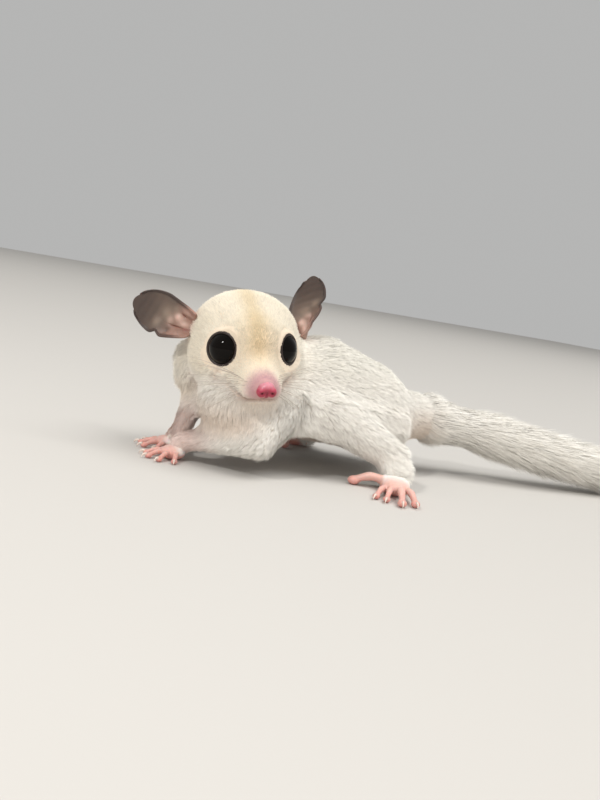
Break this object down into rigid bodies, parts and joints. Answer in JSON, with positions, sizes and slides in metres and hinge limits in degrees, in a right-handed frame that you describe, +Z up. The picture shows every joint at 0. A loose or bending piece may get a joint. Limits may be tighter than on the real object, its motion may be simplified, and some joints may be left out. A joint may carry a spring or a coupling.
{
  "type": "sugar glider",
  "caption": "Young all-white sugar glider crouching on all fours, head turned back over its left side, with a long bushy tail lying behind it.",
  "frame": {"origin": "on the floor, under the middle of the animal's bounding box", "axes": "+X towards the tip of the tail, -Y towards the side the head looks to, +Z up"},
  "size_m": [0.1784, 0.074, 0.0437],
  "materials": {
    "coat": "soft, dense, warm white fur",
    "skin": "thin bare pink skin",
    "ear_skin": "thin grey-brown skin, pink at the base",
    "nose_skin": "moist rose-red skin",
    "eye": "wet, glossy black"
  },
  "bodies": {
    "root": {"torso": "coat", "head": "coat", "neck": "coat", "foreleg_left": "coat", "foreleg_right": "coat", "hindleg_left": "coat", "hindleg_right": "coat", "glide_fold_left": "coat", "glide_fold_right": "coat", "tail": "coat", "forefoot_left": "skin", "forefoot_right": "skin", "hindfoot_left": "skin", "hindfoot_right": "skin", "ear_left": "ear_skin", "ear_right": "ear_skin", "nose": "nose_skin", "eye_left": "eye", "eye_right": "eye"}
  },
  "joints": []
}
